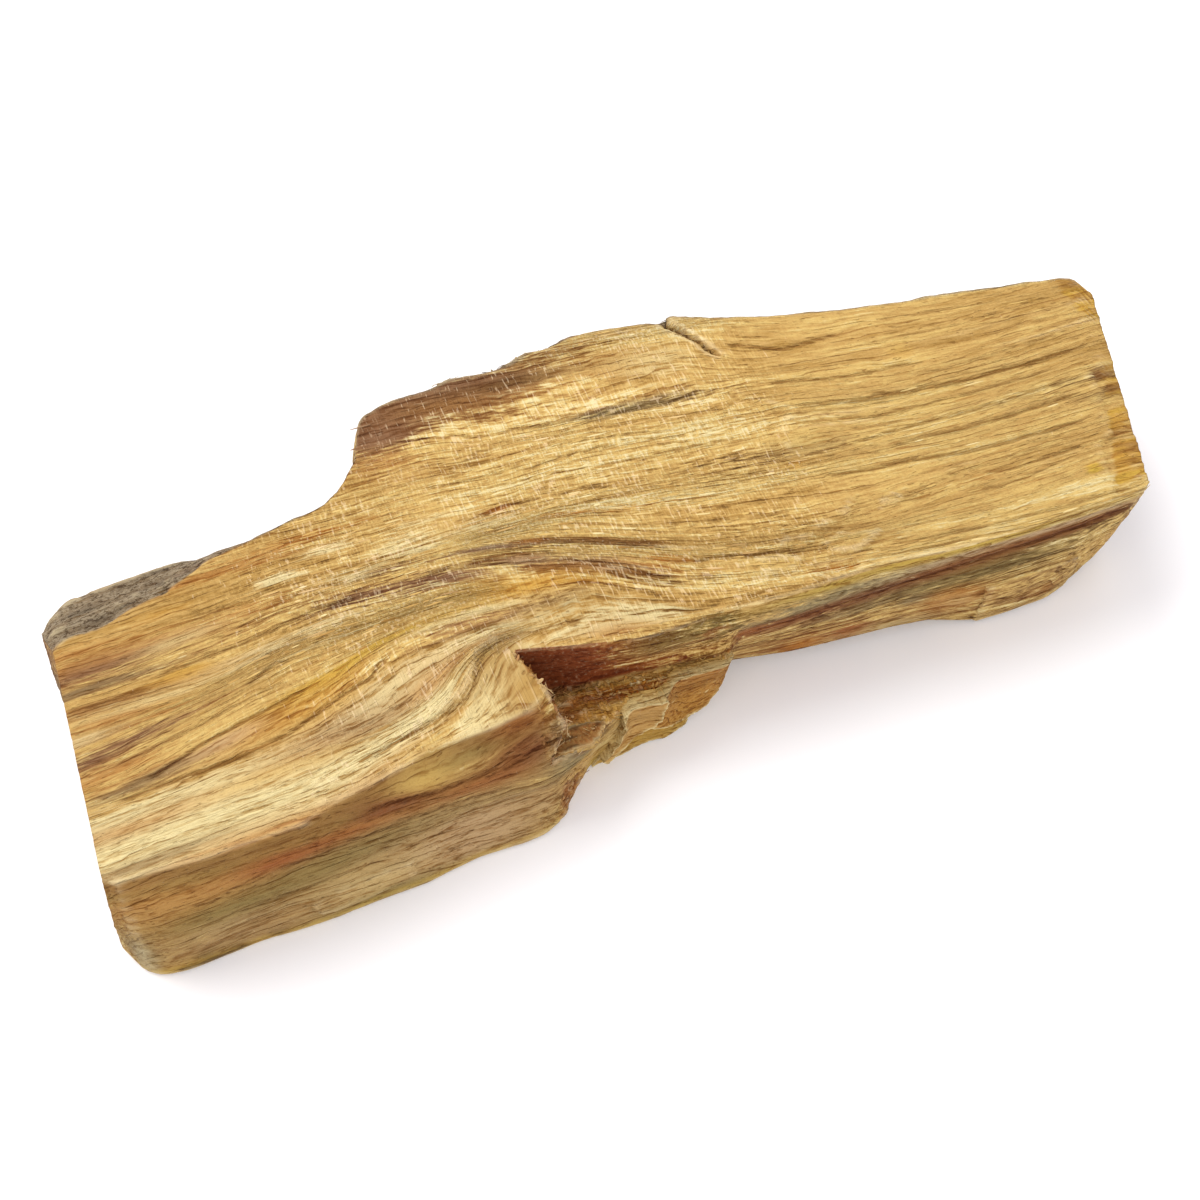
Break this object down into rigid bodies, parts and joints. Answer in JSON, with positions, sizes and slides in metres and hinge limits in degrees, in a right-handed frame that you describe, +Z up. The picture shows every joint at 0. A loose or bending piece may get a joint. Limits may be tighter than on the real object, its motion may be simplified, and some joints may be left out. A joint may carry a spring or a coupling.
{
  "type": "palo santo stick",
  "caption": "Flat split stick of palo santo wood with a torn notch in its front, a stepped weathered back and sawn ends, burnt or kept as incense.",
  "frame": {"origin": "middle of the stick's length and width, on the flat underside", "axes": "+X along the stick to the end that the grain bends towards, +Y to the weathered back, +Z up through its thickness"},
  "size_m": [0.1052, 0.0418, 0.0156],
  "materials": {
    "palo_santo_wood": "raw split wood, dry and unsealed"
  },
  "bodies": {
    "root": {"palo_santo_stick": "palo_santo_wood"}
  },
  "joints": []
}
